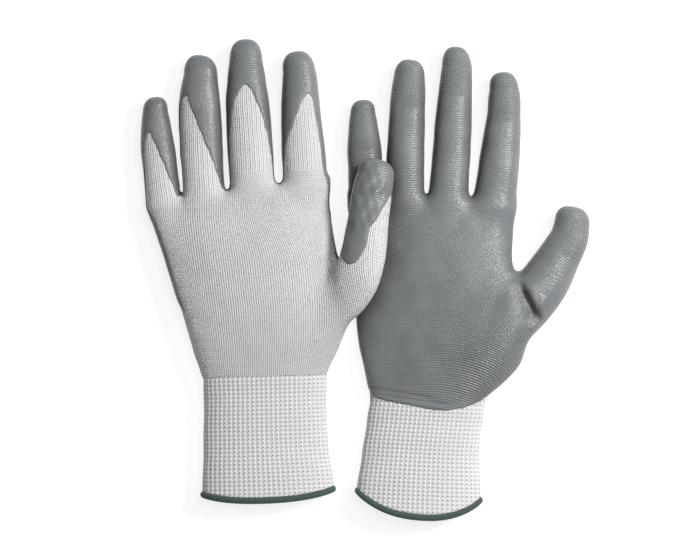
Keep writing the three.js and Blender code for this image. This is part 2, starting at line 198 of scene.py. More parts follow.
WALE_PITCH = 1.25           # the knit's columns, and its rows bare and under the film
LINER_COURSE = 1.05
FILM_COURSE = 1.25
FILM_EDGE_RADIUS = 0.9      # how round the film's edge is
SMOOTHING_ROUNDS = 2        # that take the voxel steps out of a skin
FILM_SHADE_REACH = 0.016    # metres; painted shade: the film's colour is darkened where a surface faces the floor or its neighbour
PAIR_CENTRE = np.array([-0.13, 0.21, 0.0])    # middle of the stations below, moved to the frame's origin

VIEW_CENTRE = np.array([-8.2, -0.13])
CAMERA_HEIGHT = 1.4         # metres
CAMERA_LENS = 134.9

# Stations as in the CAD part. A hand or cuff row holds the ring's left point, its right point, then bottom
# and top heights at the left and at the right. A digit row holds centre x, y, z, width, height and roll.
# `arch` is the bare arch on a digit's back: how far it stays from the tip, the angle of its apex, and the
# angles and powers of its left and right edges (degrees round from straight over the back).
# `mouth_bow` is how far the top and bottom of the cuff's mouth bow out, `film_wrap` how far the film wraps
# round the left and right edges, `tight_spot` the x, y and radius where the knit shows through the film,
# `film_wrist` and `film_lobe` the film's edge at the wrist and an outline of extra film on the thumb, `fan`
# the box and distance over which the wales fan out, and `thumb_lead` how early they follow the thumb. A
# crease has its two ends, its width on the right and left of that line, and its depth.
LEFT_GLOVE = dict(
    side="left", palm_up=False, mouth_bow=(4, 2), film_wrap=(4.5, 2), tight_spot=None,
    film_wrist=[(-120, -14), (-100, -12), (-92, -22), (-70, -27), (-40, -27), (-15, -16), (40, 0)],
    hand=[
        (-88, -48, -18.5, -46, -0.6, 20, 0.5, 22), (-93, -32, -12, -31, -0.6, 23, 2, 26),
        (-98.5, -15, -10, -15, -0.6, 24, 4, 28), (-103.5, 0, -11.5, 0, -0.6, 24, 5, 28),
        (-109.5, 19.5, -16, 19.5, -0.6, 23, 4, 27), (-113, 32, -19.5, 45, -0.6, 20, 1, 22)],
    cuff=[
        (-87.5, -48.5, -19, -46.6, 0, 20, 0.5, 22), (-86.2, -58, -20.3, -57, 0, 19, 0, 20),
        (-86.2, -85, -19.5, -85, 0, 19, 0, 19), (-86.8, -112, -16.3, -109, 0, 20, 0, 20)],
    creases=[], fan=(-80, -30, 8, 50, 15), thumb_lead=36,
    film_lobe=[(-14.4, 14), (-12, 9.9), (-8.7, 7.4), (-6, 7.9), (-2.6, 11.3), (0.8, 18.7), (2.8, 26.9),
               (6.1, 30.3), (8.2, 35.6), (11.6, 41.7), (14, 45.4), (14, 66), (-10, 66), (-12.5, 20)],
    digits=dict(
        thumb=dict(root=4.45, tip=(6, 63), arch=(16, 60, -60, 120, 0.5, 0.4), rows=[
            (-31.5, -37, 13, 27, 20, 5), (-23, -25.5, 16, 30, 21, 9), (-13.5, -12.5, 20.5, 31, 21, 12),
            (-6, -0.5, 25, 28, 20, 11), (-1.5, 11.5, 27, 24.5, 18.5, 8), (1, 26.5, 27.2, 23, 17.5, 4),
            (3, 42.5, 26.8, 21.5, 16.5, 0), (5.5, 56, 26.3, 18.5, 15.5, 0)]),
        index=dict(root=1.05, tip=(-36.8, 121.2), arch=(23.6, 25, -85, 58, 0.75, 0.4), rows=[
            (-30.2, 31.5, 12.5, 25, 20, 0), (-31.7, 50.5, 10.1, 24.3, 18.6, 0),
            (-34.2, 92.5, 9.1, 21.2, 17, 0), (-34.8, 106, 8.5, 18.9, 15.8, 0),
            (-35.3, 111, 8.2, 17.2, 15, 0)]),
        middle=dict(root=1.06, tip=(-63.6, 127.8), arch=(25, -4, -80, 80, 0.56, 0.6), rows=[
            (-57.5, 31.5, 12.5, 24.5, 20.5, 0), (-59.6, 49.5, 10.3, 24, 19, 0),
            (-62.3, 90, 9.3, 23.2, 17.4, 0), (-62.9, 106, 8.8, 20.4, 16.4, 0),
            (-63.3, 116.5, 8.1, 18, 14.6, 0)]),
        ring=dict(root=1.08, tip=(-87.4, 119.3), arch=(22.5, -36, -105, 61, 0.45, 1.0), rows=[
            (-84.2, 27.5, 12, 23.3, 20, 0), (-86, 45.5, 9.9, 22.6, 18.2, 0),
            (-87.9, 84.5, 9.1, 23, 17, 0), (-88.1, 98, 8.6, 21.2, 16, 0),
            (-87.4, 108.5, 7.9, 17.6, 14.2, 0)]),
        little=dict(root=1.09, tip=(-111.5, 97), arch=(19.3, -22, -70, 50, 0.4, 1.0), rows=[
            (-104.4, 27.5, 11, 19.6, 18.5, 0), (-106.7, 41, 9.1, 19.4, 16.8, 0),
            (-109.9, 69, 8.6, 18.4, 16, 0), (-111.1, 83.5, 8.1, 15.8, 15, 0), (-111.5, 89, 7.7, 14, 14, 0)])))

RIGHT_GLOVE = dict(
    side="right", palm_up=True, mouth_bow=(11, 7), film_wrap=(3, 3), tight_spot=(61, -47, 26),
    film_wrist=[(-10, -56), (1.8, -58.4), (5, -62.7), (18.3, -66.9), (31.5, -68.5), (42.1, -69.6),
                (51.1, -68.5), (59.6, -64.8), (68.6, -58.4), (76.6, -52.1), (84, -47), (120, -40)],
    hand=[
        (1.5, -60, 65, -62.5, -0.6, 18, -0.6, 20), (-1.5, -42, 81.5, -44.5, -0.6, 17.5, -0.6, 25),
        (-4, -28, 84.5, -27, -0.6, 17, -0.6, 27), (-5.5, -10.5, 83, -10.5, -0.6, 16.5, -0.6, 27),
        (-7, 9.5, 77.5, 9.5, -0.6, 16, -0.6, 25), (-8, 36, 78.5, 33, 0, 15.5, 0, 21)],
    cuff=[
        (2, -60.6, 64.5, -63.1, 0, 18, 0, 20), (0.9, -71, 63, -72.5, 0, 17.5, 0, 18),
        (-1.8, -89, 60.8, -90, 0, 17.5, 0, 17.5), (-5, -110, 61.5, -115, 0, 19, 0, 19)],
    film_lobe=None, fan=None, thumb_lead=10,
    creases=[((80.8, -2.8), (90.5, -21.5), 5.0, 2.0, 3.8), ((92.6, -9), (92.8, -20), 1.4, 1.6, -0.5),
             ((92, -23.5), (86, -26), 1.4, 1.4, -0.6),
             ((0, -57), (38, -63), 0.9, 0.9, 0.5), ((2, -60), (44, -66), 0.8, 0.8, 0.5),
             ((4, -63), (30, -68.5), 0.8, 0.8, 0.5)],
    digits=dict(
        thumb=dict(root=4.25, tip=(110, 39), arch=(19, 0, -75, 75, 0.5, 0.5), rows=[
            (55.5, -50, 11.6, 26, 20, 0), (64, -40, 13.1, 30, 23.5, 0), (73.5, -27, 13.6, 31.5, 24.5, 0),
            (83, -15, 13.2, 30, 23.8, 0), (93, -3.5, 12.2, 26.5, 22, 0), (101, 9.5, 11.2, 24, 20, 0),
            (107.5, 21, 10.2, 21.5, 18, 0), (109.5, 30.5, 9.2, 19, 16.2, 0)]),
        index=dict(root=1.08, tip=(72.6, 110.2), arch=(23, 0, -80, 80, 0.55, 0.55), rows=[
            (66, 23.5, 12.1, 23.5, 20, 0), (68, 41, 10.3, 23.2, 18.6, 0), (72.9, 82, 9.2, 19.2, 16.8, 0),
            (73.6, 96.5, 8.7, 17.4, 15.8, 0), (73.5, 101.5, 8.2, 15.8, 14.6, 0)]),
        middle=dict(root=1.06, tip=(48, 123.7), arch=(25, 0, -80, 80, 0.55, 0.55), rows=[
            (43, 26.5, 11.6, 22.5, 19, 0), (44, 43.5, 10.2, 21.9, 18.4, 0), (47.2, 90, 9.3, 18.8, 17, 0),
            (48.3, 107, 8.6, 17, 15.6, 0), (48.6, 113.5, 8, 16, 14.2, 0)]),
        ring=dict(root=1.06, tip=(24.2, 117), arch=(22.5, 0, -80, 80, 0.55, 0.55), rows=[
            (19.8, 26.5, 10.1, 21, 17, 0), (20.9, 44.5, 9.4, 20.9, 16.8, 0), (21.8, 84.5, 9, 19.1, 16.4, 0),
            (22.9, 100.5, 8.4, 17.4, 15.2, 0), (23.5, 108, 7.8, 16, 13.8, 0)]),
        little=dict(root=1.1, tip=(-1.5, 95.6), arch=(19, 0, -80, 80, 0.55, 0.55), rows=[
            (0.8, 25.5, 8.6, 19, 15, 0), (0.6, 39.5, 8.2, 18.6, 14.6, 0), (-0.7, 69, 8.1, 18, 14.6, 0),
            (-1.5, 83.5, 7.8, 15.6, 14, 0), (-1.7, 88.5, 7.4, 14, 13, 0)])))

DIGITS = ("index", "middle", "ring", "little", "thumb")
KNUCKLES = (0.36, 0.66)      # where a digit's joints press shallow dips, as shares of its length
KNUCKLE_DIP = 0.12
KNUCKLE_SPREAD = 5.0
THUMB_WRINKLE = 0.3         # of the left thumb, whose film is wrinkled on top


# ---- small maths -----------------------------------------------------------------------------------

def smoothstep(low, high, value):
    share = np.clip((value - low) / (high - low), 0, 1)
    return share * share * (3 - 2 * share)


def mix(a, b, share):
    return a + (b - a) * share


def smooth_min(a, b, radius):
    """The lower of two fields, rounded where they meet within `radius`."""
    share = np.clip(radius - np.abs(a - b), 0, None) / radius
    return np.minimum(a, b) - share * share * radius / 4


def smooth_max(a, b, radius):
    return -smooth_min(-a, -b, radius)


def spline(rows, at):
    """Catmull-Rom through the rows at fractional positions, straight on past the ends."""
    rows = np.asarray(rows, float)
    at = np.atleast_1d(np.asarray(at, float))
    padded = np.vstack([2 * rows[0] - rows[1], rows, 2 * rows[-1] - rows[-2]])
    first = np.clip(np.floor(at).astype(int), 0, len(rows) - 2)
    share = (at - first)[:, None]
    a, b, c, d = (padded[first + k] for k in range(4))
    curve = 0.5 * (2 * b + (c - a) * share + (2 * a - 5 * b + 4 * c - d) * share ** 2
                   + (3 * b - a - 3 * c + d) * share ** 3)
    straight = b + (c - b) * share
    outside = (share < 0) | (share > 1)
    return np.where(outside, straight, curve)


def rounded(turn, power):
    """Unit superellipse: across and up for each turn round a ring."""
    across, up = np.cos(turn), np.sin(turn)
    return np.sign(across) * np.abs(across) ** (2 / power), np.sign(up) * np.abs(up) ** (2 / power)


def waves(points, seed, size):
    """Smooth noise between about -1 and 1 that changes over `size` mm."""
    rng = np.random.default_rng(seed)
    total = np.zeros(len(points))
    for _ in range(7):
        direction = rng.normal(size=3)
        direction *= 2 * math.pi / (size * rng.uniform(0.7, 1.6) * np.linalg.norm(direction))
        total += np.sin(points @ direction + rng.uniform(0, 2 * math.pi))
    return total / 3.5


# ---- lofts -----------------------------------------------------------------------------------------

def ring_points(rows, at, turns):
    """Points of one hand or cuff ring."""
    xl, yl, xr, yr, bottom_l, top_l, bottom_r, top_r = spline(rows, at)[0]
    across, up = rounded(turns, HAND_ROUNDNESS)
    share = 0.5 + 0.5 * across
    bottom, top = mix(bottom_l, bottom_r, share), mix(top_l, top_r, share)
    middle, half = (bottom + top) / 2, (top - bottom) / 2
    return np.column_stack([mix(xl, xr, share), mix(yl, yr, share), middle + up * half])


def closed_loft(rings):
    """Vertices and quads of stacked rings, with a flat fan of quads closing each end."""
    count = len(rings[0])
    points = np.vstack(rings + [rings[0].mean(0), rings[-1].mean(0)])
    step = np.arange(count)
    after = (step + 1) % count
    first, last = len(points) - 2, (len(rings) - 1) * count
    start_fan = np.column_stack([after, step, np.full(count, first)])
    end_fan = np.column_stack([last + step, last + after, np.full(count, first + 1)])
    return points, tube_faces(len(rings), count), np.vstack([start_fan, end_fan])


def hand_rows(glove):
    """The hand's stations, led on a little way into the cuff so that the film can lap over it."""
    lead = [tuple(spline(glove["cuff"], at)[0]) for at in (1.4, 0.8)]
    return lead + list(glove["hand"])


def hand_loft(glove):
    rows = hand_rows(glove)
    last = len(rows) - 1
    turns = np.linspace(0, 2 * math.pi, 96, endpoint=False)
    rings = [ring_points(rows, at, turns) for at in np.linspace(0, last, 6 * last + 1)]
    middle = rings[-1].mean(0)
    for angle in (25, 50, 70, 84):
        shrink, ahead = math.cos(math.radians(angle)) ** 0.6, KNUCKLE_CAP * math.sin(math.radians(angle))
        rings.append(middle + (rings[6 * last] - middle) * (1, 1, shrink) + (0, ahead, 0))
    return closed_loft(rings)


class Digit:
    """One digit's axis, sampled from its base inside the hand to where its round tip starts."""

    def __init__(self, name, rows, tip, root, arch):
        self.name, self.arch = name, arch
        self.at = np.linspace(0, len(rows) - 1, 40)
        table = spline(rows, self.at)
        self.centre = table[:, :3]
        self.half_width, self.half_height = table[:, 3] / 2, table[:, 4] / 2
        ahead = np.gradient(self.centre, axis=0)
        ahead[:, 2] = 0
        self.along = ahead / np.linalg.norm(ahead, axis=1, keepdims=True)
        flat_side = np.column_stack([self.along[:, 1], -self.along[:, 0], np.zeros(len(self.at))])
        roll = np.radians(table[:, 5])[:, None]
        self.side = flat_side * np.cos(roll) + np.array([0, 0, 1]) * np.sin(roll)
        self.up = np.cross(self.side, self.along)
        gaps = np.linalg.norm(np.diff(self.centre, axis=0), axis=1)
        length = np.concatenate([[0], np.cumsum(gaps)])
        self.length = length - np.interp(root, self.at, length)          # 0 at the hinge
        self.tip = np.array([*tip, self.centre[-1, 2]])
        self.cap = np.linalg.norm(self.tip - self.centre[-1])
        self.heading = (self.tip - self.centre[-1]) / self.cap
        self.reach = self.length[-1] + self.cap

    def loft(self):
        turns = np.linspace(0, 2 * math.pi, 40, endpoint=False)
        across, up = rounded(turns, DIGIT_ROUNDNESS)

        def ring(k, shrink, past):
            return (self.centre[k] + self.heading * past
                    + np.outer(across * shrink * self.half_width[k], self.side[k])
                    + np.outer(up * shrink * self.half_height[k], self.up[k]))

        base = smoothstep(self.length[0], self.length[0] * BASE_TAPER_END, self.length)
        rings = [ring(k, mix(BASE_TAPER, 1, base[k]), 0) for k in range(len(self.at))]
        for angle in (12, 24, 36, 48, 60, 70, 79, 86):
            bow = math.radians(angle)
            rings.append(ring(-1, math.cos(bow) ** TIP_FULLNESS, self.cap * math.sin(bow)))
        return closed_loft(rings)

    def near(self, points):
        """Indices of the points that could lie on this digit."""
        margin = self.half_width.max() * 1.7
        spots = np.vstack([self.centre, self.tip])[:, :2]
        low, high = spots.min(0) - margin, spots.max(0) + margin
        return np.flatnonzero(((points[:, :2] > low) & (points[:, :2] < high)).all(1))

    def locate(self, points):
        """Distance past the hinge, and shares across and up the ring, of each point."""
        nearest = np.zeros(len(points), int)
        best = np.full(len(points), np.inf)
        for k, centre in enumerate(self.centre):
            offset = points - centre
            distance = np.abs(offset @ self.along[k]) + 0.2 * np.sqrt((offset * offset).sum(1))
            closer = distance < best
            nearest[closer], best[closer] = k, distance[closer]
        offset = points - self.centre[nearest]
        along = self.length[nearest] + (offset * self.along[nearest]).sum(1)
        across = (offset * self.side[nearest]).sum(1) / self.half_width[nearest]
        up = (offset * self.up[nearest]).sum(1) / self.half_height[nearest]
        return np.column_stack([along, across, up])

    def spot(self, table):
        """A table of the axis read at the hinge."""
        return np.array([np.interp(0, self.length, column) for column in table.T])


def nearest_digits(digits, points, start=-DIGIT_BASE, reach=DIGIT_REACH):
    """For each point the digit that it lies on (-1 off them all) and its place on that digit."""
    owner = np.full(len(points), -1)
    best = np.full(len(points), reach)
    place = np.zeros((len(points), 3))
    for k, digit in enumerate(digits):
        near = digit.near(points)
        table = digit.locate(points[near])
        spread = np.hypot(table[:, 1], table[:, 2])
        closer = (table[:, 0] > start) & (spread < best[near])
        chosen = near[closer]
        owner[chosen], best[chosen], place[chosen] = k, spread[closer], table[closer]
    return owner, place


# ---- distance fields -------------------------------------------------------------------------------

class Grid:
    """A box of voxels round one glove."""

    def __init__(self, glove):
        rings = [ring_points(glove["hand"], at, np.array([0, math.pi])) for at in range(len(glove["hand"]))]
        tips = [np.array([*digit["tip"], 0]) for digit in glove["digits"].values()]
        spots = np.vstack(rings + [np.array(tips)])
        wrist = min(row[1] for row in glove["hand"])
        self.low = np.floor(np.array([spots[:, 0].min() - 20, wrist - 26, -6]) / VOXEL).astype(int)
        self.high = np.ceil(np.array([spots[:, 0].max() + 20, spots[:, 1].max() + 8, 44]) / VOXEL).astype(int)
        self.shape = tuple(self.high - self.low)

    def field(self, loft):
        points, quads, triangles = loft
        transform = openvdb.createLinearTransform(voxelSize=VOXEL)
        level = openvdb.FloatGrid.createLevelSetFromPolygons(
            points.astype(np.float32), triangles=triangles.astype(np.uint32), quads=quads.astype(np.uint32),
            transform=transform, halfWidth=BAND)
        values = np.zeros(self.shape, np.float32)
        level.copyToArray(values, ijk=tuple(int(k) for k in self.low))
        return values

    def points(self, chosen):
        return (np.argwhere(chosen) + self.low) * VOXEL

    def surface(self, values, level=0.0):
        """Vertices (mm) and quads of the field at this level."""
        grid = openvdb.FloatGrid(float(values.max()))
        grid.copyFromArray(np.ascontiguousarray(values, np.float32))
        points, triangles, quads = grid.convertToPolygons(isovalue=level, adaptivity=0.0)
        return (points + self.low) * VOXEL, quads.astype(int)


def glove_field(glove, grid, digits):
    hand = grid.field(hand_loft(glove))
    joined = hand
    for digit in digits:
        radius = THUMB_BLEND if digit.name == "thumb" else KNUCKLE_BLEND
        joined = np.minimum(joined, smooth_min(hand, grid.field(digit.loft()), radius))
    return joined


# ---- where the film is -----------------------------------------------------------------------------

def digit_film(glove, digit, place):
    """Positive inside the film, about in mm: all of the digit except the bare arch on its back."""
    along, across, up = place.T
    from_tip = digit.reach - along
    start, apex, left, right, left_power, right_power = digit.arch
    over_back = -up if glove["palm_up"] else up
    angle = np.degrees(np.arctan2(across, over_back))
    share = np.clip((from_tip - start) / (digit.reach - start), 0, 1.35)
    left_edge = apex + (left - apex) * share ** left_power
    right_edge = apex + (right - apex) * share ** right_power
    radius = math.radians(digit.half_width.mean())
    outside_arch = np.maximum(left_edge - angle, angle - right_edge) * radius
    return np.maximum(outside_arch, start - from_tip)


def hand_levels(glove, points, low, high):
    """Share across the hand, held between low and high, and the hand's bottom and top there."""
    x, y = points[:, 0], points[:, 1]
    rows = np.array(glove["hand"], float)
    left, right, *heights = (np.interp(y, rows[:, 1], rows[:, k]) for k in (0, 2, 4, 5, 6, 7))
    bottom_l, top_l, bottom_r, top_r = heights
    share = np.clip((x - left) / (right - left), low, high)
    return share, mix(bottom_l, bottom_r, share), mix(top_l, top_r, share)


def hand_film(glove, points):
    """Positive inside the film on the hand: the palm side, wrapped a little round each edge."""
    x, y, z = points.T
    share, bottom, top = hand_levels(glove, points, -0.5, 1.8)
    middle = (bottom + top) / 2
    wrap = np.interp(share, (0, 1), glove["film_wrap"])
    side = (z - middle if glove["palm_up"] else middle - z) + wrap
    edge = np.array(glove["film_wrist"], float)
    return np.minimum(side, y - np.interp(x, edge[:, 0], edge[:, 1]))


def outline_depth(points, outline):
    """How far inside a closed outline in plan each point is, in mm; negative outside it."""
    corners = np.array(outline, float)
    x, y = points[:, 0], points[:, 1]
    nearest = np.full(len(points), np.inf)
    inside = np.zeros(len(points), bool)
    for (x1, y1), (x2, y2) in zip(corners, np.roll(corners, -1, axis=0)):
        run_x, run_y = x2 - x1, y2 - y1
        share = np.clip(((x - x1) * run_x + (y - y1) * run_y) / (run_x ** 2 + run_y ** 2), 0, 1)
        nearest = np.minimum(nearest, np.hypot(x - x1 - share * run_x, y - y1 - share * run_y))
        if run_y != 0:
            inside ^= ((y1 > y) != (y2 > y)) & (x < x1 + (y - y1) / run_y * run_x)
    return np.where(inside, nearest, -nearest)


def film_mask(glove, digits, points):
    mask = hand_film(glove, points)
    owner, place = nearest_digits(digits, points)
    for k, digit in enumerate(digits):
        mine = owner == k
        along, across, up = place[mine].T
        share = smoothstep(-12, 2, along) * (1 - smoothstep(*FILM_REACH, np.hypot(across, up)))
        mask[mine] = mix(mask[mine], digit_film(glove, digit, place[mine]), share)
    if glove["film_lobe"]:
        mask = np.maximum(mask, outline_depth(points, glove["film_lobe"]))
    ragged = 0.25 * waves(points, 3, 8) + 0.25 * waves(points, 4, 2.6)
    return mask + ragged


# ---- surface coordinates of the knit ---------------------------------------------------------------

def over_the_side(glove, points, upper_face):
    """How much further the wales run where the skin turns away from a face at the hand's sides."""
    z = points[:, 2]
    share, bottom, top = hand_levels(glove, points, 0, 1)
    edge = 2 * share - 1
    depth = top - z if upper_face else z - bottom
    return np.sign(edge) * smoothstep(*SIDE_WALL, np.abs(edge)) * np.clip(depth - SIDE_SHOULDER, 0, None)


def knit_coordinates(glove, digits, points, upper_face):
    """Wale and course distances over the skin in mm, and how stretched the knit is there, 0 to 1."""
    x, y, _ = points.T
    rows = np.array(glove["hand"], float)
    left, right = np.interp(y, rows[:, 1], rows[:, 0]), np.interp(y, rows[:, 1], rows[:, 2])
    widest = (rows[:, 2] - rows[:, 0]).max()
    middle = (left + right) / 2
    wale = mix(x, rows[-1, 0] + (x - left) / (right - left) * widest, 0.45)
    course = y + COURSE_SAG * np.clip(x - middle, 0, None) ** 2 * (1 if glove["palm_up"] else 0.3)
    if glove["fan"]:
        x_low, x_high, y_low, y_high, shift = glove["fan"]
        wale += shift * smoothstep(x_low, x_high, x) * smoothstep(y_low, y_high, y)
    wale += over_the_side(glove, points, upper_face)
    stretch = np.zeros(len(points))
    if glove["tight_spot"]:
        spot_x, spot_y, radius = glove["tight_spot"]
        stretch = np.exp(-((x - spot_x) ** 2 + (y - spot_y) ** 2) / radius ** 2)
    owner, place = nearest_digits(digits, points, start=-glove["thumb_lead"])
    for k, digit in enumerate(digits):
        mine = owner == k
        along, across, up = place[mine].T
        root = digit.spot(digit.centre)
        width = digit.spot(digit.half_width[:, None])[0]
        lead = glove["thumb_lead"] if digit.name == "thumb" else DIGIT_LEAD
        share = smoothstep(-lead, 8, along) * (1 - smoothstep(*KNIT_REACH, np.hypot(across, up)))
        wale[mine] = mix(wale[mine], root[0] + width * np.arctan2(across, up), share)
        course[mine] = mix(course[mine], root[1] + along, share)
        if glove["palm_up"]:
            stretch[mine] += TIP_STRETCH * smoothstep(*TIP_LINE, digit.reach - along)
        else:
            stretch[mine] = share
    return np.column_stack([wale, course, stretch])


# ---- folds and creases -----------------------------------------------------------------------------

def segment_offset(points, start, end):
    """Signed sideways distance from a segment in plan, and the share along it."""
    start, end = np.array(start, float), np.array(end, float)
    run = end - start
    length = np.linalg.norm(run)
    offset = points[:, :2] - start
    share = (offset @ run) / length ** 2
    sideways = (offset[:, 0] * run[1] - offset[:, 1] * run[0]) / length
    return sideways, share


def crease(points, start, end, right_width, left_width, depth):
    """A groove along a segment, of its own width on each side, that fades out at both ends."""
    sideways, share = segment_offset(points, start, end)
    width = np.where(sideways > 0, right_width, left_width)
    fade = smoothstep(-0.15, 0.25, share) * (1 - smoothstep(0.8, 1.1, share))
    return -depth * np.exp(-(sideways / width) ** 2) * fade


def glove_folds(glove, digits, points, normals):
    """How far each surface point moves along its normal."""
    move = 0.35 * waves(points, 11, 38) + 0.12 * waves(points, 12, 14)
    upward = smoothstep(0.25, 0.75, normals[:, 2])
    for line in glove["creases"]:
        move += crease(points, *line) * upward
    owner, place = nearest_digits(digits, points, start=0)
    for k, digit in enumerate(digits):
        mine = owner == k
        for share in KNUCKLES:
            past = place[mine, 0] - digit.reach * share
            move[mine] -= KNUCKLE_DIP * np.exp(-(past / KNUCKLE_SPREAD) ** 2)
        if digit.name == "thumb" and not glove["palm_up"]:
            on_top = smoothstep(-0.1, 0.5, place[mine, 2]) * smoothstep(0, 15, place[mine, 0])
            move[mine] += THUMB_WRINKLE * waves(points[mine], 13, 6) * on_top
    return move


# ---- meshes ----------------------------------------------------------------------------------------

def gathered(index, values, count):
    """Sum rows of values into `count` rows by index."""
    return np.column_stack([np.bincount(index, values[:, k], count) for k in range(values.shape[1])])


def vertex_normals(points, quads):
    corner = points[quads]
    face = np.cross(corner[:, 2] - corner[:, 0], corner[:, 3] - corner[:, 1])
    normals = sum(gathered(quads[:, k], face, len(points)) for k in range(4))
    return normals / np.maximum(np.linalg.norm(normals, axis=1, keepdims=True), 1e-9)


def relaxed(points, quads, rounds):
    """Even out the voxel steps: each vertex moves halfway to the mean of its neighbours."""
    count = 2 * np.bincount(quads.ravel(), minlength=len(points))
    for _ in range(rounds):
        beside = [points[quads[:, (k + 1) % 4]] + points[quads[:, (k + 3) % 4]] for k in range(4)]
        total = sum(gathered(quads[:, k], beside[k], len(points)) for k in range(4))
        points = mix(points, total / np.maximum(count, 1)[:, None], 0.5)
    return points


def make_mesh(name, points, faces, normals=None, knit=None):
    """A smooth-shaded object from quads in mm, with its knit coordinates."""
    mesh = bpy.data.meshes.new(name)
    mesh.vertices.add(len(points))
    mesh.vertices.foreach_set("co", ((points - PAIR_CENTRE) * MM).astype(np.float32).ravel())
    mesh.loops.add(faces.size)
    mesh.loops.foreach_set("vertex_index", faces.astype(np.int32).ravel())
    mesh.polygons.add(len(faces))
    mesh.polygons.foreach_set("loop_start", np.arange(0, faces.size, 4, dtype=np.int32))
    mesh.update(calc_edges=True)
    mesh.validate()
    mesh.shade_smooth()
    if knit is not None:
        attribute = mesh.attributes.new("knit", "FLOAT_VECTOR", "POINT")
        attribute.data.foreach_set("vector", np.ascontiguousarray(knit, np.float32).ravel())
    if normals is not None:
        mesh.normals_split_custom_set_from_vertices(normals.tolist())
    made = bpy.data.objects.new(name, mesh)
    bpy.context.scene.collection.objects.link(made)
    return made


def part_of(points, faces, keep_face, normals, knit, name):
    """The chosen faces as an object of their own."""
    faces = faces[keep_face]
    used, renumbered = np.unique(faces, return_inverse=True)
    return make_mesh(name, points[used], renumbered.reshape(faces.shape), normals[used], knit[used])


def attach(glove, obj, digit, slot):
    side = glove["side"]
    body = f"{side}_glove"
    if digit is None:
        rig.ride(obj, body)
    else:
        finger = f"{side}_{digit.name}" + ("" if digit.name == "thumb" else "_finger")
        root, along = digit.spot(digit.centre), digit.spot(digit.along)
        start = (root - along * BEND_BEFORE - PAIR_CENTRE) * MM
        end = (root + along * BEND_AFTER - PAIR_CENTRE) * MM
        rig.blend(obj, body, finger, start=tuple(start), end=tuple(end))
    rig.slot(obj, slot)
    return obj


def skin_pieces(glove, digits, points, quads, layer, material, slot):
    """Cut one layer of the glove into the hand and its digits."""
    side = glove["side"]
    normals = vertex_normals(points, quads)
    covers_top = glove["palm_up"] == (layer == "coating")
    knit = knit_coordinates(glove, digits, points, covers_top)
    if layer == "coating" and not glove["tight_spot"]:
        knit[:, 2] = 0
    owner, _ = nearest_digits(digits, points[quads].mean(1), start=-BEND_BEFORE)
    hand_node = "liner_hand" if layer == "liner" else "coating_palm"
    pieces = []
    for k, digit in enumerate([*digits, None]):
        label = hand_node if digit is None else f"{layer}_{digit.name}"
        keep = owner == (-1 if digit is None else k)
        obj = part_of(points, quads, keep, normals, knit, f"{side}_{label}_skin")
        obj.data.materials.append(material)
        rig.replaces(obj, f"{side}_{label}")
        attach(glove, obj, digit, slot)
        pieces.append(obj)
    return pieces


def grow_glove(glove, looks):
    digits = [Digit(name, **glove["digits"][name]) for name in DIGITS]
    grid = Grid(glove)
    whole = glove_field(glove, grid, digits)

    points, quads = grid.surface(whole, -LINER_DEPTH)
    points = relaxed(points, quads, SMOOTHING_ROUNDS)
    folds = glove_folds(glove, digits, points, vertex_normals(points, quads))
    points = points + vertex_normals(points, quads) * folds[:, None]
    points[:, 2] = np.maximum(points[:, 2], 0.15)
    wrist = wrist_line(glove, points[quads].mean(1))
    skin_pieces(glove, digits, points, quads[wrist > -WRIST_TUCK], "liner", looks["knit"], "knit_liner")

    near = (whole > -FILM_HIDDEN - 2 * VOXEL) & (whole < 2 * VOXEL)
    mask = np.full(whole.shape, -5.0, np.float32)
    mask[near] = np.clip(film_mask(glove, digits, grid.points(near)), -5, 5)
    film = smooth_max(whole + FILM_DEPTH, -mask, FILM_EDGE_RADIUS)
    film = np.maximum(film, -(whole + FILM_HIDDEN))
    points, quads = grid.surface(film, 0.0)
    points = relaxed(points, quads, SMOOTHING_ROUNDS)
    depth = sample(whole, grid, points[quads].mean(1))
    quads = quads[depth > -LINER_DEPTH - 0.6]
    folds = glove_folds(glove, digits, points, vertex_normals(points, quads))
    points = points + vertex_normals(points, quads) * folds[:, None]
    points[:, 2] = np.maximum(points[:, 2], 0.05)
    skin_pieces(glove, digits, points, quads, "coating", looks["film"], "nitrile_coating")


def sample(values, grid, points):
    """Field values at the voxels nearest to the points."""
    spot = np.rint(points / VOXEL).astype(int) - grid.low
    spot = np.clip(spot, 0, np.array(values.shape) - 1)
    return values[tuple(spot.T)]


def wrist_line(glove, points):
    """How far a point is on the hand side of the cuff's first course."""
    xl, yl, xr, yr = glove["cuff"][0][:4]
    return points[:, 1] - mix(yl, yr, (points[:, 0] - xl) / (xr - xl))


# ---- cuff, hem and elastic -------------------------------------------------------------------------

def cuff_ring(glove, run, turns, outward):
    """Points round the cuff, `outward` mm off its surface, with the mouth bowed towards the arm."""
    points = ring_points(glove["cuff"], run, turns)
    middle = points.mean(0)
    offset = points - middle
    half = np.abs(offset).max(0)
    for axis in (0, 2):
        points[:, axis] += offset[:, axis] / half[axis] * outward
    _, up = rounded(turns, HAND_ROUNDNESS)
    top_bow, bottom_bow = glove["mouth_bow"]
    points[:, 1] -= np.where(up > 0, top_bow, bottom_bow) * up ** 2 * (run / (len(glove["cuff"]) - 1)) ** 2
    return points


def even_turns(glove, count):
    """Turns that are evenly spaced by distance round the cuff."""
    fine = np.linspace(0, 2 * math.pi, 2000)
    points = cuff_ring(glove, 1.5, fine, 0)
    travel = np.concatenate([[0], np.cumsum(np.linalg.norm(np.diff(points, axis=0), axis=1))])
    return np.interp(np.linspace(0, travel[-1], count, endpoint=False), travel, fine), travel[-1]


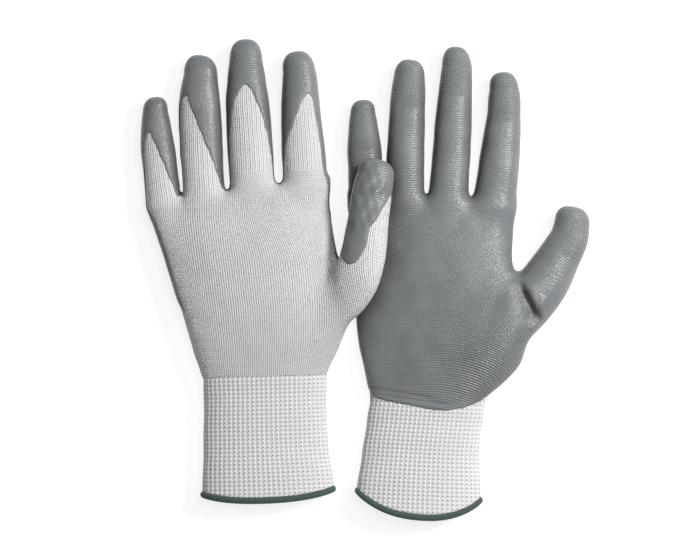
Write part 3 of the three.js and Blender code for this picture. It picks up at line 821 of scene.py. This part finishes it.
def tube_faces(rings, count, closed_run=False):
    step = np.arange(count)
    after = (step + 1) % count
    last = rings if closed_run else rings - 1
    return np.vstack([np.column_stack([k * count + step, k * count + after,
                                       (k + 1) % rings * count + after, (k + 1) % rings * count + step])
                      for k in range(last)])


def make_cuff(glove, looks):
    side = glove["side"]
    _, girth = even_turns(glove, 10)
    ribs = round(girth / RIB_PITCH)
    count = ribs * RIB_STEPS
    turns, girth = even_turns(glove, count)
    last = len(glove["cuff"]) - 1
    arc = np.arange(count) / RIB_STEPS
    rib = 0.5 + 0.5 * np.cos(2 * math.pi * arc)
    runs = np.linspace(0, last, CUFF_RINGS)
    start = cuff_ring(glove, 0, turns, 0)[:, 1]
    rings, knit = [], []

    def add(run, outward):
        ring = cuff_ring(glove, run, turns, outward)
        rings.append(ring)
        knit.append(np.column_stack([arc * RIB_PITCH, start - ring[:, 1], np.zeros(count)]))

    for run in runs:
        slack = 0.12 * np.sin(7.3 * run + 3 * np.sin(turns))
        tuck = 0.5 * (1 - smoothstep(0, 1, run))
        add(run, -RIB_HEIGHT * (1 - rib) + slack - 0.4 - tuck)
    for run in runs[::-4]:
        add(run, -CUFF_WALL - 0.2 * rib)
    faces = tube_faces(len(rings), count, closed_run=True)
    points = np.vstack(rings)
    points[:, 2] = np.maximum(points[:, 2], 0.1)
    obj = make_mesh(f"{side}_cuff_rib", points, faces, knit=np.vstack(knit))
    obj.data.materials.append(looks["rib"])
    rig.replaces(obj, f"{side}_cuff")
    attach(glove, obj, None, "rib_cuff")


def make_hem(glove, looks):
    """The overlocked edge: a bead whose thread wraps over and round the rib's raw edge."""
    side = glove["side"]
    _, girth = even_turns(glove, 10)
    stitches = round(girth / STITCH_PITCH)
    count = stitches * STITCH_STEPS
    stitch = np.arange(count) / STITCH_STEPS
    turns, girth = even_turns(glove, count)
    last = len(glove["cuff"]) - 1
    section = np.linspace(0, 2 * math.pi, HEM_SIDES, endpoint=False)
    rings, knit = [], []
    for angle in section:
        lean = 0.35 * np.sin(angle)
        phase = stitch + lean
        thread = np.abs(np.sin(math.pi * phase)) ** 0.6
        radial = math.cos(angle) * (CUFF_WALL / 2 + HEM_OVERHANG + 0.35 * thread)
        forward = math.sin(angle) * (HEM_HEIGHT / 2 + 0.2 * thread)
        outward = radial - CUFF_WALL / 2 - 0.3
        ring = cuff_ring(glove, last, turns, outward)
        ring[:, 1] -= HEM_HEIGHT / 2 + forward + 0.1
        rings.append(ring)
        knit.append(np.column_stack([stitch * STITCH_PITCH, np.full(count, angle), np.zeros(count)]))
    faces = tube_faces(len(rings), count, closed_run=True)
    points = np.vstack(rings)
    points[:, 2] = np.maximum(points[:, 2], 0.05)
    obj = make_mesh(f"{side}_hem_bead", points, faces, knit=np.vstack(knit))
    obj.data.materials.append(looks["overlock"])
    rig.replaces(obj, f"{side}_hem_overlock")
    attach(glove, obj, None, "overlock_thread")


def make_elastic(glove, looks):
    """Covered elastic yarn laid in round the inside of the rib, course after course."""
    side = glove["side"]
    last = len(glove["cuff"]) - 1
    steps = ELASTIC_TURNS * ELASTIC_STEPS
    runs = np.linspace(0.15, last - 0.1, steps)
    angles = np.linspace(0, 2 * math.pi * ELASTIC_TURNS, steps)
    path = np.array([inner_point(glove, run, angle) for run, angle in zip(runs, angles)])
    curve = bpy.data.curves.new(f"{side}_elastic_yarn", "CURVE")
    curve.dimensions, curve.bevel_depth, curve.bevel_resolution = "3D", ELASTIC_RADIUS * MM, 2
    line = curve.splines.new("POLY")
    line.points.add(steps - 1)
    for point, place in zip(line.points, (path - PAIR_CENTRE) * MM):
        point.co = (*place, 1)
    obj = bpy.data.objects.new(f"{side}_elastic_yarn", curve)
    bpy.context.scene.collection.objects.link(obj)
    obj.data.materials.append(looks["elastic"])
    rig.replaces(obj, f"{side}_cuff_elastic")
    attach(glove, obj, None, "elastic_yarn")


def inner_point(glove, run, angle):
    circle = np.linspace(0, 2 * math.pi, 13)[:-1]
    ring = cuff_ring(glove, run, np.append(circle, angle % (2 * math.pi)), 0)
    middle = ring[:12].mean(0)
    half = np.abs(ring[:12] - middle).max(0)
    spot = ring[12]
    inset = CUFF_WALL + ELASTIC_INSET
    spot[0] += (middle[0] - spot[0]) / half[0] * inset
    spot[2] += (middle[2] - spot[2]) / half[2] * inset
    return spot


# ---- materials -------------------------------------------------------------------------------------

class Nodes:
    """Short names for the shader nodes that the looks are built from."""

    def __init__(self, name, color, roughness):
        self.material = bpy.data.materials.new(name)
        self.material.use_nodes = True
        self.tree = self.material.node_tree
        self.shader = self.tree.nodes["Principled BSDF"]
        self.shader.inputs["Base Color"].default_value = (*color, 1)
        self.shader.inputs["Roughness"].default_value = roughness

    def new(self, kind, **sockets):
        node = self.tree.nodes.new(kind)
        for name, value in sockets.items():
            self.put(value, node.inputs[name])
        return node

    def put(self, value, socket):
        if isinstance(value, bpy.types.NodeSocket):
            self.tree.links.new(value, socket)
        else:
            socket.default_value = value

    def math(self, operation, *values):
        node = self.tree.nodes.new("ShaderNodeMath")
        node.operation = operation
        for socket, value in zip(node.inputs, values):
            self.put(value, socket)
        return node.outputs[0]

    def knit(self):
        """Wale and course distances in mm, and how stretched the knit is."""
        attribute = self.tree.nodes.new("ShaderNodeAttribute")
        attribute.attribute_name = "knit"
        split = self.tree.nodes.new("ShaderNodeSeparateXYZ")
        self.tree.links.new(attribute.outputs["Vector"], split.inputs[0])
        return split.outputs

    def noise(self, scale, detail=2.0, roughness=0.5):
        place = self.tree.nodes.new("ShaderNodeTexCoord")
        node = self.new("ShaderNodeTexNoise", Scale=scale, Detail=detail, Roughness=roughness)
        self.tree.links.new(place.outputs["Object"], node.inputs["Vector"])
        return node.outputs["Fac"]

    def openness(self, reach):
        """1 where nothing lies within `reach` metres over a surface, less where something does."""
        node = self.new("ShaderNodeAmbientOcclusion", Distance=reach)
        node.samples = 6
        return node.outputs["AO"]

    def tinted(self, color, tint):
        node = self.tree.nodes.new("ShaderNodeMix")
        node.data_type, node.blend_type = "RGBA", "MULTIPLY"
        node.inputs["Factor"].default_value = 1.0
        self.put(color, node.inputs[6])
        self.put(tint, node.inputs[7])
        return node.outputs[2]

    def centred(self, value, pitch, shift=0.0):
        """Where a distance falls in its repeat, from -0.5 to 0.5."""
        turns = self.math("ADD", self.math("DIVIDE", value, pitch), shift)
        return self.math("SUBTRACT", self.math("FRACT", turns), 0.5)

    def ramp(self, value, *stops):
        node = self.tree.nodes.new("ShaderNodeValToRGB")
        self.put(value, node.inputs[0])
        ramp = node.color_ramp
        while len(ramp.elements) < len(stops):
            ramp.elements.new(0.5)
        for element, (position, color) in zip(ramp.elements, stops):
            element.position, element.color = position, (*color, 1)
        return node.outputs[0]

    def bump(self, height, distance, strength=1.0, normal=None):
        node = self.new("ShaderNodeBump", Height=height, Distance=distance, Strength=strength)
        if normal is not None:
            self.put(normal, node.inputs["Normal"])
        return node.outputs[0]

    def finish(self, color=None, normal=None, roughness=None):
        if color is not None:
            self.put(color, self.shader.inputs["Base Color"])
        if normal is not None:
            self.put(normal, self.shader.inputs["Normal"])
        if roughness is not None:
            self.put(roughness, self.shader.inputs["Roughness"])
        return self.material


def stitch_height(n, wale, course, wale_pitch, course_pitch):
    """Height of plain knit, 0 to 1: columns of V-shaped loops with a low gap between columns, which the knit and rib
    colours darken as painted shade.
    """
    across = n.centred(wale, wale_pitch)
    side = n.math("ABSOLUTE", across)
    slanted = n.math("SUBTRACT", n.math("DIVIDE", course, course_pitch), n.math("MULTIPLY", side, 1.1))
    loop = n.math("MULTIPLY_ADD", n.math("COSINE", n.math("MULTIPLY", slanted, 2 * math.pi)), 0.5, 0.5)
    column = n.math("POWER", n.math("COSINE", n.math("MULTIPLY", across, math.pi)), 0.7)
    middle = n.math("SUBTRACT", 1.0, n.math("MULTIPLY", n.math("LESS_THAN", side, 0.06), 0.25))
    body = n.math("MULTIPLY_ADD", loop, 0.5, 0.5)
    return n.math("MULTIPLY", n.math("MULTIPLY", column, body), middle)


def knit_look():
    n = Nodes("knit_liner_white", (0.8, 0.8, 0.79), 0.9)
    wale, course, stretch = n.knit()
    wander = n.math("MULTIPLY", n.math("SUBTRACT", n.noise(260.0), 0.5), 0.5)
    wandered = n.math("ADD", wale, wander)
    height = stitch_height(n, wandered, course, WALE_PITCH, LINER_COURSE)
    patchy = n.math("MULTIPLY_ADD", n.noise(900.0, 3.0), 0.5, -0.25)
    rib_gap = n.math("GREATER_THAN", n.math("ABSOLUTE", n.centred(wandered, 2 * WALE_PITCH)), 0.42)
    opened = n.math("MULTIPLY", n.math("MULTIPLY_ADD", rib_gap, 0.26, -0.14), stretch)
    shade = n.math("SUBTRACT", n.math("ADD", height, patchy), opened)
    # the colour darkens with the stitch height: painted shade in the gaps between stitches; the patchy noise is uneven
    # tone of the yarn, and where the knit is stretched every second gap is darker still and the rest lighter
    color = n.ramp(shade, (0.0, (0.2, 0.2, 0.2)), (0.4, (0.52, 0.52, 0.52)), (0.75, (0.74, 0.74, 0.735)))
    n.shader.inputs["Specular IOR Level"].default_value = 0.2
    return n.finish(color, n.bump(height, 0.00035, 0.9))


def rib_look():
    n = Nodes("rib_cuff_white", (0.8, 0.8, 0.79), 0.9)
    wale, course, _ = n.knit()
    across = n.math("ABSOLUTE", n.centred(wale, RIB_PITCH, 0.5))
    arched = n.math("SUBTRACT", course, n.math("MULTIPLY", across, 1.6))
    row = n.math("ABSOLUTE", n.centred(arched, COURSE_PITCH))
    groove = n.math("SMOOTH_MIN", n.math("MULTIPLY", across, 2.3), 1.0, 0.3)
    slot = n.math("SMOOTH_MIN", n.math("MULTIPLY", row, 4.2), 1.0, 0.3)
    hole = n.math("SMOOTH_MAX", groove, slot, 0.2)
    fine = stitch_height(n, wale, course, RIB_PITCH / 2, COURSE_PITCH / 2)
    height = n.math("MULTIPLY_ADD", fine, 0.35, n.math("MULTIPLY", hole, 0.65))
    worn = n.math("MULTIPLY_ADD", n.noise(1500.0, 2.0), 0.24, -0.12)
    # the colour darkens with the height: painted shade in the holes and grooves between the ribs' stitches; the worn
    # noise is uneven tone of the yarn
    color = n.ramp(n.math("ADD", height, worn), (0.12, (0.1, 0.1, 0.1)), (0.5, (0.44, 0.44, 0.44)),
                   (0.85, (0.69, 0.69, 0.685)))
    n.shader.inputs["Specular IOR Level"].default_value = 0.2
    return n.finish(color, n.bump(height, 0.0004, 0.9))


def film_look():
    n = Nodes("nitrile_film_grey", (0.2, 0.21, 0.215), 0.3)
    wale, course, stretch = n.knit()
    stitches = stitch_height(n, wale, course, WALE_PITCH, FILM_COURSE)
    phase = n.math("MULTIPLY", course, 2 * math.pi / FILM_COURSE)
    ridges = n.math("MULTIPLY_ADD", n.math("SINE", phase), 0.5, 0.5)
    patch = n.ramp(n.noise(22.0, 1.0), (0.35, (0.2, 0.2, 0.2)), (0.65, (0.6, 0.6, 0.6)))
    strength = n.math("MULTIPLY_ADD", stretch, 1.6, patch)
    telegraph = n.math("MULTIPLY", n.math("MULTIPLY_ADD", stitches, 0.4, ridges), strength)
    grain = n.bump(n.noise(1250.0, 2.0, 0.6), 0.00017, 1.0)
    mottled = n.ramp(n.noise(60.0, 3.0), (0.3, (0.154, 0.162, 0.167)), (0.7, (0.194, 0.204, 0.21)))
    # painted shade: ambient occlusion darkens the film's base colour where a surface faces the floor or a neighbouring
    # part
    painted_shade = n.ramp(n.openness(FILM_SHADE_REACH), (0.4, (0.32, 0.32, 0.32)), (0.95, (1, 1, 1)))
    color = n.tinted(mottled, painted_shade)
    rough = n.math("MULTIPLY_ADD", n.noise(180.0, 2.0), 0.1, 0.22)
    n.shader.inputs["Specular IOR Level"].default_value = 0.28
    return n.finish(color, n.bump(telegraph, 0.00012, 1.0, grain), rough)


def overlock_look():
    n = Nodes("overlock_thread_green", (0.045, 0.09, 0.072), 0.75)
    color = n.ramp(n.noise(1800.0, 2.0), (0.3, (0.024, 0.045, 0.037)), (0.7, (0.05, 0.088, 0.073)))
    n.shader.inputs["Sheen Weight"].default_value = 0.2
    return n.finish(color, n.bump(n.noise(4200.0, 2.0), 0.00012, 0.7))


def elastic_look():
    n = Nodes("elastic_yarn_pale", (0.62, 0.62, 0.6), 0.6)
    return n.finish(normal=n.bump(n.noise(3000.0, 2.0), 0.0001, 0.5))


# ---- studio ----------------------------------------------------------------------------------------

def make_floor():
    bpy.ops.mesh.primitive_plane_add(size=6, location=(0, 0, -0.0002))
    floor = bpy.context.object
    floor.name = "studio_floor"
    look = Nodes("studio_floor_white", (0.3, 0.3, 0.3), 0.8)
    look.shader.inputs["Emission Color"].default_value = (1, 1, 1, 1)
    look.shader.inputs["Emission Strength"].default_value = 0.82
    floor.data.materials.append(look.finish())
    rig.stage(floor)


def area_light(name, place, size, watts, aim=(0, 0, 0)):
    data = bpy.data.lights.new(name, "AREA")
    data.shape, data.size, data.energy = "DISK", size, watts
    lamp = bpy.data.objects.new(name, data)
    lamp.location = place
    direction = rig.Vector(aim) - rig.Vector(place)
    lamp.rotation_euler = direction.to_track_quat("-Z", "Y").to_euler()
    bpy.context.scene.collection.objects.link(lamp)
    return lamp


def make_studio():
    make_floor()
    world = bpy.data.worlds.new("studio")
    world.use_nodes = True
    world.node_tree.nodes["Background"].inputs[0].default_value = (1, 1, 1, 1)
    world.node_tree.nodes["Background"].inputs[1].default_value = 0.07
    bpy.context.scene.world = world
    area_light("key", (0.7, 0.35, 0.8), 0.26, 14)
    area_light("overhead", (0.3, 0.3, 1.6), 0.6, 9)
    area_light("fill", (-0.9, -0.3, 0.9), 0.9, 0.5)
    bpy.context.scene.view_settings.view_transform = "Standard"


def make_camera():
    """Straight down, with the fingers to the top, as the gloves were photographed."""
    data = bpy.data.cameras.new("camera")
    data.sensor_width, data.lens = 36, CAMERA_LENS
    camera = bpy.data.objects.new("camera", data)
    camera.location = (*(VIEW_CENTRE - PAIR_CENTRE[:2]) * MM, CAMERA_HEIGHT)
    data.clip_start, data.clip_end = 0.05, 20
    bpy.context.scene.collection.objects.link(camera)
    bpy.context.scene.camera = camera


def main():
    looks = dict(knit=knit_look(), rib=rib_look(), film=film_look(), overlock=overlock_look(),
                 elastic=elastic_look())
    for glove in (LEFT_GLOVE, RIGHT_GLOVE):
        grow_glove(glove, looks)
        make_cuff(glove, looks)
        make_hem(glove, looks)
        make_elastic(glove, looks)
    make_studio()
    make_camera()
    with open("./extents.json", "w") as out:
        boxes = [[list(corner) for corner in box] for box in (cad_bounds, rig.bounds())]
        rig.json.dump(boxes, out)


main()
